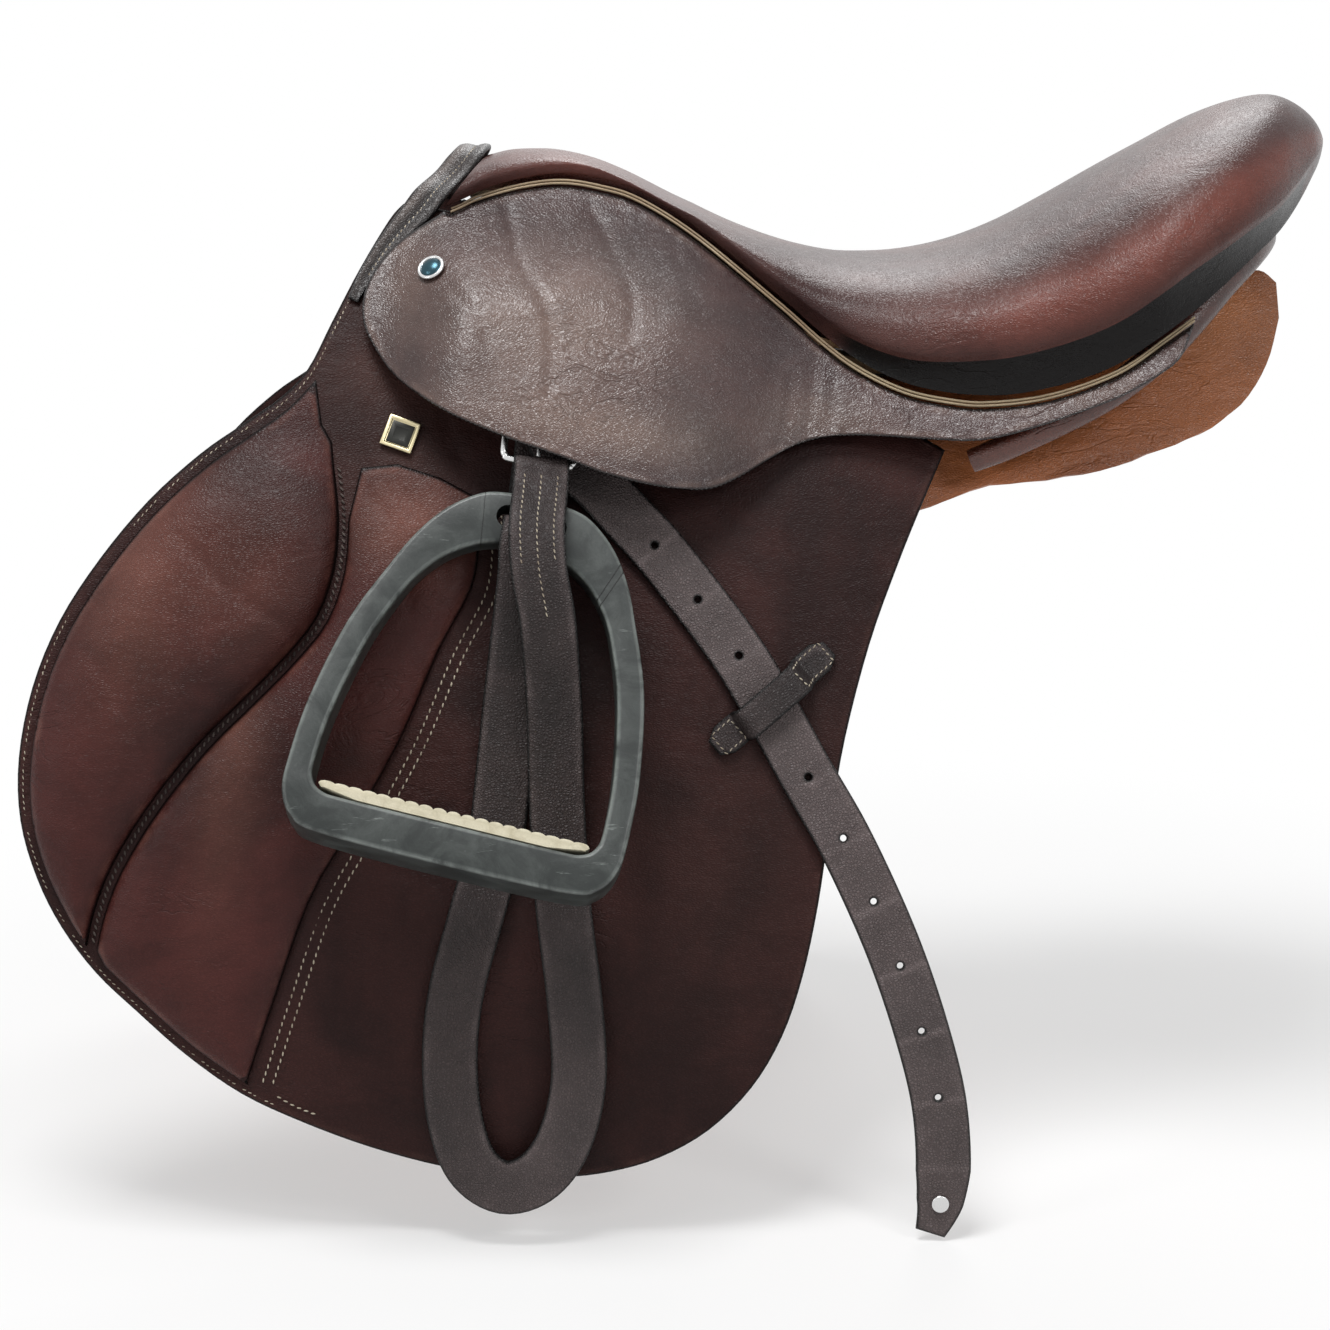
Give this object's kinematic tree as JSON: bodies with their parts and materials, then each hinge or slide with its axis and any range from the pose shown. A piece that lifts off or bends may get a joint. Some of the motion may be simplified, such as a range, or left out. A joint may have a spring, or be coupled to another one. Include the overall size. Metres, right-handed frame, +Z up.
{
  "type": "english saddle",
  "caption": "Forward cut all-purpose English saddle with lifting flaps and skirts, knee pads, stuffed panels, girth straps, and stirrup irons run up on their leathers",
  "frame": {"origin": "on the centreline, in the plane that the panels bear on, straight below the seat's deepest point", "axes": "+X to the cantle, -X to the pommel, -Y near side (the side in the picture), +Y off side, +Z up"},
  "size_m": [0.6078, 0.467, 0.5083],
  "materials": {
    "tree_wood": "laminated wood, sealed",
    "plate_steel": "blued steel plate",
    "bar_steel": "forged steel",
    "polished_steel": "polished",
    "web": "woven linen web",
    "seat_leather": "dark brown, worn and polished",
    "flap_leather": "very dark brown, fine grain",
    "pad_leather": "red brown over padding",
    "roll_leather": "dark red brown, smooth",
    "panel_leather": "tan, stuffed",
    "strap_leather": "black brown, rubbed edges",
    "welt_leather": "thin light tan piping",
    "composite": "grey black composite with worn edges",
    "tread_rubber": "cream, ribbed"
  },
  "bodies": {
    "saddle": {"tree": "tree_wood", "head_plate": "plate_steel", "girth_web_front": "web", "girth_web_rear": "web", "seat_web": "web", "seat": "seat_leather", "pommel_facing": "seat_leather", "seat_welt_near": "welt_leather", "skirt_near": "seat_leather", "skirt_rear_near": "seat_leather", "skirt_nail_near": "polished_steel", "flap_head_near": "flap_leather", "sweat_flap_near": "panel_leather", "panel_near": "panel_leather", "facing_roll_near": "roll_leather", "stirrup_bar_near": "bar_steel", "seat_welt_off": "welt_leather", "skirt_off": "seat_leather", "skirt_rear_off": "seat_leather", "skirt_nail_off": "polished_steel", "flap_head_off": "flap_leather", "sweat_flap_off": "panel_leather", "panel_off": "panel_leather", "facing_roll_off": "roll_leather", "stirrup_bar_off": "bar_steel"},
    "flap_part_near": {"flap_near": "flap_leather", "knee_pad_front_near": "pad_leather", "knee_pad_rear_near": "pad_leather", "flap_stud_near": "polished_steel", "flap_keeper_near": "flap_leather"},
    "leather_near": {"stirrup_leather_near": "strap_leather", "leather_buckle_near": "polished_steel", "buckle_tongue_near": "polished_steel", "tip_rivet_near": "polished_steel"},
    "iron_near": {"stirrup_iron_near": "composite", "stirrup_tread_near": "tread_rubber"},
    "skirt_band_near": {"skirt_fold_near": "seat_leather"},
    "skirt_lower_near": {"skirt_edge_near": "seat_leather"},
    "catch_near": {"bar_catch_near": "bar_steel"},
    "girth_strap_1_near": {"girth_strap_1_near": "strap_leather"},
    "girth_strap_2_near": {"girth_strap_2_near": "strap_leather"},
    "girth_strap_3_near": {"girth_strap_3_near": "strap_leather"},
    "flap_part_off": {"flap_off": "flap_leather", "knee_pad_front_off": "pad_leather", "knee_pad_rear_off": "pad_leather", "flap_stud_off": "polished_steel", "flap_keeper_off": "flap_leather"},
    "leather_off": {"stirrup_leather_off": "strap_leather", "leather_buckle_off": "polished_steel", "buckle_tongue_off": "polished_steel", "tip_rivet_off": "polished_steel"},
    "iron_off": {"stirrup_iron_off": "composite", "stirrup_tread_off": "tread_rubber"},
    "skirt_band_off": {"skirt_fold_off": "seat_leather"},
    "skirt_lower_off": {"skirt_edge_off": "seat_leather"},
    "catch_off": {"bar_catch_off": "bar_steel"},
    "girth_strap_1_off": {"girth_strap_1_off": "strap_leather"},
    "girth_strap_2_off": {"girth_strap_2_off": "strap_leather"},
    "girth_strap_3_off": {"girth_strap_3_off": "strap_leather"}
  },
  "joints": [
    {"name": "flap_lift_near", "type": "hinge", "parent": "saddle", "child": "flap_part_near", "pos_m": [-0.144, -0.1065, 0.0714], "axis": [-0.988, 0, 0.1547], "range_deg": [0, 45]},
    {"name": "leather_lift_near", "type": "hinge", "parent": "saddle", "child": "leather_near", "pos_m": [-0.144, -0.1065, 0.0714], "axis": [-0.988, 0, 0.1547], "range_deg": [0, 45]},
    {"name": "skirt_fold_lift_near", "type": "hinge", "parent": "saddle", "child": "skirt_band_near", "pos_m": [-0.08132, -0.115, 0.08385], "axis": [-0.988, 0, 0.1547], "range_deg": [0, 45]},
    {"name": "skirt_edge_lift_near", "type": "hinge", "parent": "skirt_band_near", "child": "skirt_lower_near", "pos_m": [-0.08302, -0.1215, 0.07298], "axis": [-0.988, 0, 0.1547], "range_deg": [0, 50]},
    {"name": "iron_tilt_near", "type": "hinge", "parent": "leather_near", "child": "iron_near", "pos_m": [-0.14992, -0.14533, 0.00451], "axis": [-0.988, 0, 0.1547], "range_deg": [0, 5]},
    {"name": "catch_turn_near", "type": "hinge", "parent": "saddle", "child": "catch_near", "pos_m": [-0.11367, -0.1065, 0.06665], "axis": [0, -1, 0], "range_deg": [0, 60]},
    {"name": "girth_strap_1_swing_near", "type": "hinge", "parent": "saddle", "child": "girth_strap_1_near", "pos_m": [-0.142, -0.09161, 0.066], "axis": [0, -1, 0], "range_deg": [-4, 4]},
    {"name": "girth_strap_2_swing_near", "type": "hinge", "parent": "saddle", "child": "girth_strap_2_near", "pos_m": [-0.109, -0.08875, 0.066], "axis": [0, -1, 0], "range_deg": [-4, 4]},
    {"name": "girth_strap_3_swing_near", "type": "hinge", "parent": "saddle", "child": "girth_strap_3_near", "pos_m": [-0.076, -0.08576, 0.066], "axis": [0, -1, 0], "range_deg": [-4, 4]},
    {"name": "flap_lift_off", "type": "hinge", "parent": "saddle", "child": "flap_part_off", "pos_m": [-0.144, 0.1065, 0.0714], "axis": [0.988, 0, -0.1547], "range_deg": [0, 45]},
    {"name": "leather_lift_off", "type": "hinge", "parent": "saddle", "child": "leather_off", "pos_m": [-0.144, 0.1065, 0.0714], "axis": [0.988, 0, -0.1547], "range_deg": [0, 45]},
    {"name": "skirt_fold_lift_off", "type": "hinge", "parent": "saddle", "child": "skirt_band_off", "pos_m": [-0.08132, 0.115, 0.08385], "axis": [0.988, 0, -0.1547], "range_deg": [0, 45]},
    {"name": "skirt_edge_lift_off", "type": "hinge", "parent": "skirt_band_off", "child": "skirt_lower_off", "pos_m": [-0.08302, 0.1215, 0.07298], "axis": [0.988, 0, -0.1547], "range_deg": [0, 50]},
    {"name": "iron_tilt_off", "type": "hinge", "parent": "leather_off", "child": "iron_off", "pos_m": [-0.14992, 0.14533, 0.00451], "axis": [0.988, 0, -0.1547], "range_deg": [0, 5]},
    {"name": "catch_turn_off", "type": "hinge", "parent": "saddle", "child": "catch_off", "pos_m": [-0.11367, 0.1065, 0.06665], "axis": [0, -1, 0], "range_deg": [0, 60]},
    {"name": "girth_strap_1_swing_off", "type": "hinge", "parent": "saddle", "child": "girth_strap_1_off", "pos_m": [-0.142, 0.09161, 0.066], "axis": [0, -1, 0], "range_deg": [-4, 4]},
    {"name": "girth_strap_2_swing_off", "type": "hinge", "parent": "saddle", "child": "girth_strap_2_off", "pos_m": [-0.109, 0.08875, 0.066], "axis": [0, -1, 0], "range_deg": [-4, 4]},
    {"name": "girth_strap_3_swing_off", "type": "hinge", "parent": "saddle", "child": "girth_strap_3_off", "pos_m": [-0.076, 0.08576, 0.066], "axis": [0, -1, 0], "range_deg": [-4, 4]}
  ],
  "couplings": [
    {"joint": "leather_lift_near", "follows": "flap_lift_near", "ratio": 1},
    {"joint": "skirt_fold_lift_near", "follows": "flap_lift_near", "ratio": 1},
    {"joint": "girth_strap_2_swing_near", "follows": "girth_strap_1_swing_near", "ratio": 1},
    {"joint": "girth_strap_3_swing_near", "follows": "girth_strap_1_swing_near", "ratio": 1},
    {"joint": "leather_lift_off", "follows": "flap_lift_off", "ratio": 1},
    {"joint": "skirt_fold_lift_off", "follows": "flap_lift_off", "ratio": 1},
    {"joint": "girth_strap_2_swing_off", "follows": "girth_strap_1_swing_off", "ratio": 1},
    {"joint": "girth_strap_3_swing_off", "follows": "girth_strap_1_swing_off", "ratio": 1}
  ]
}
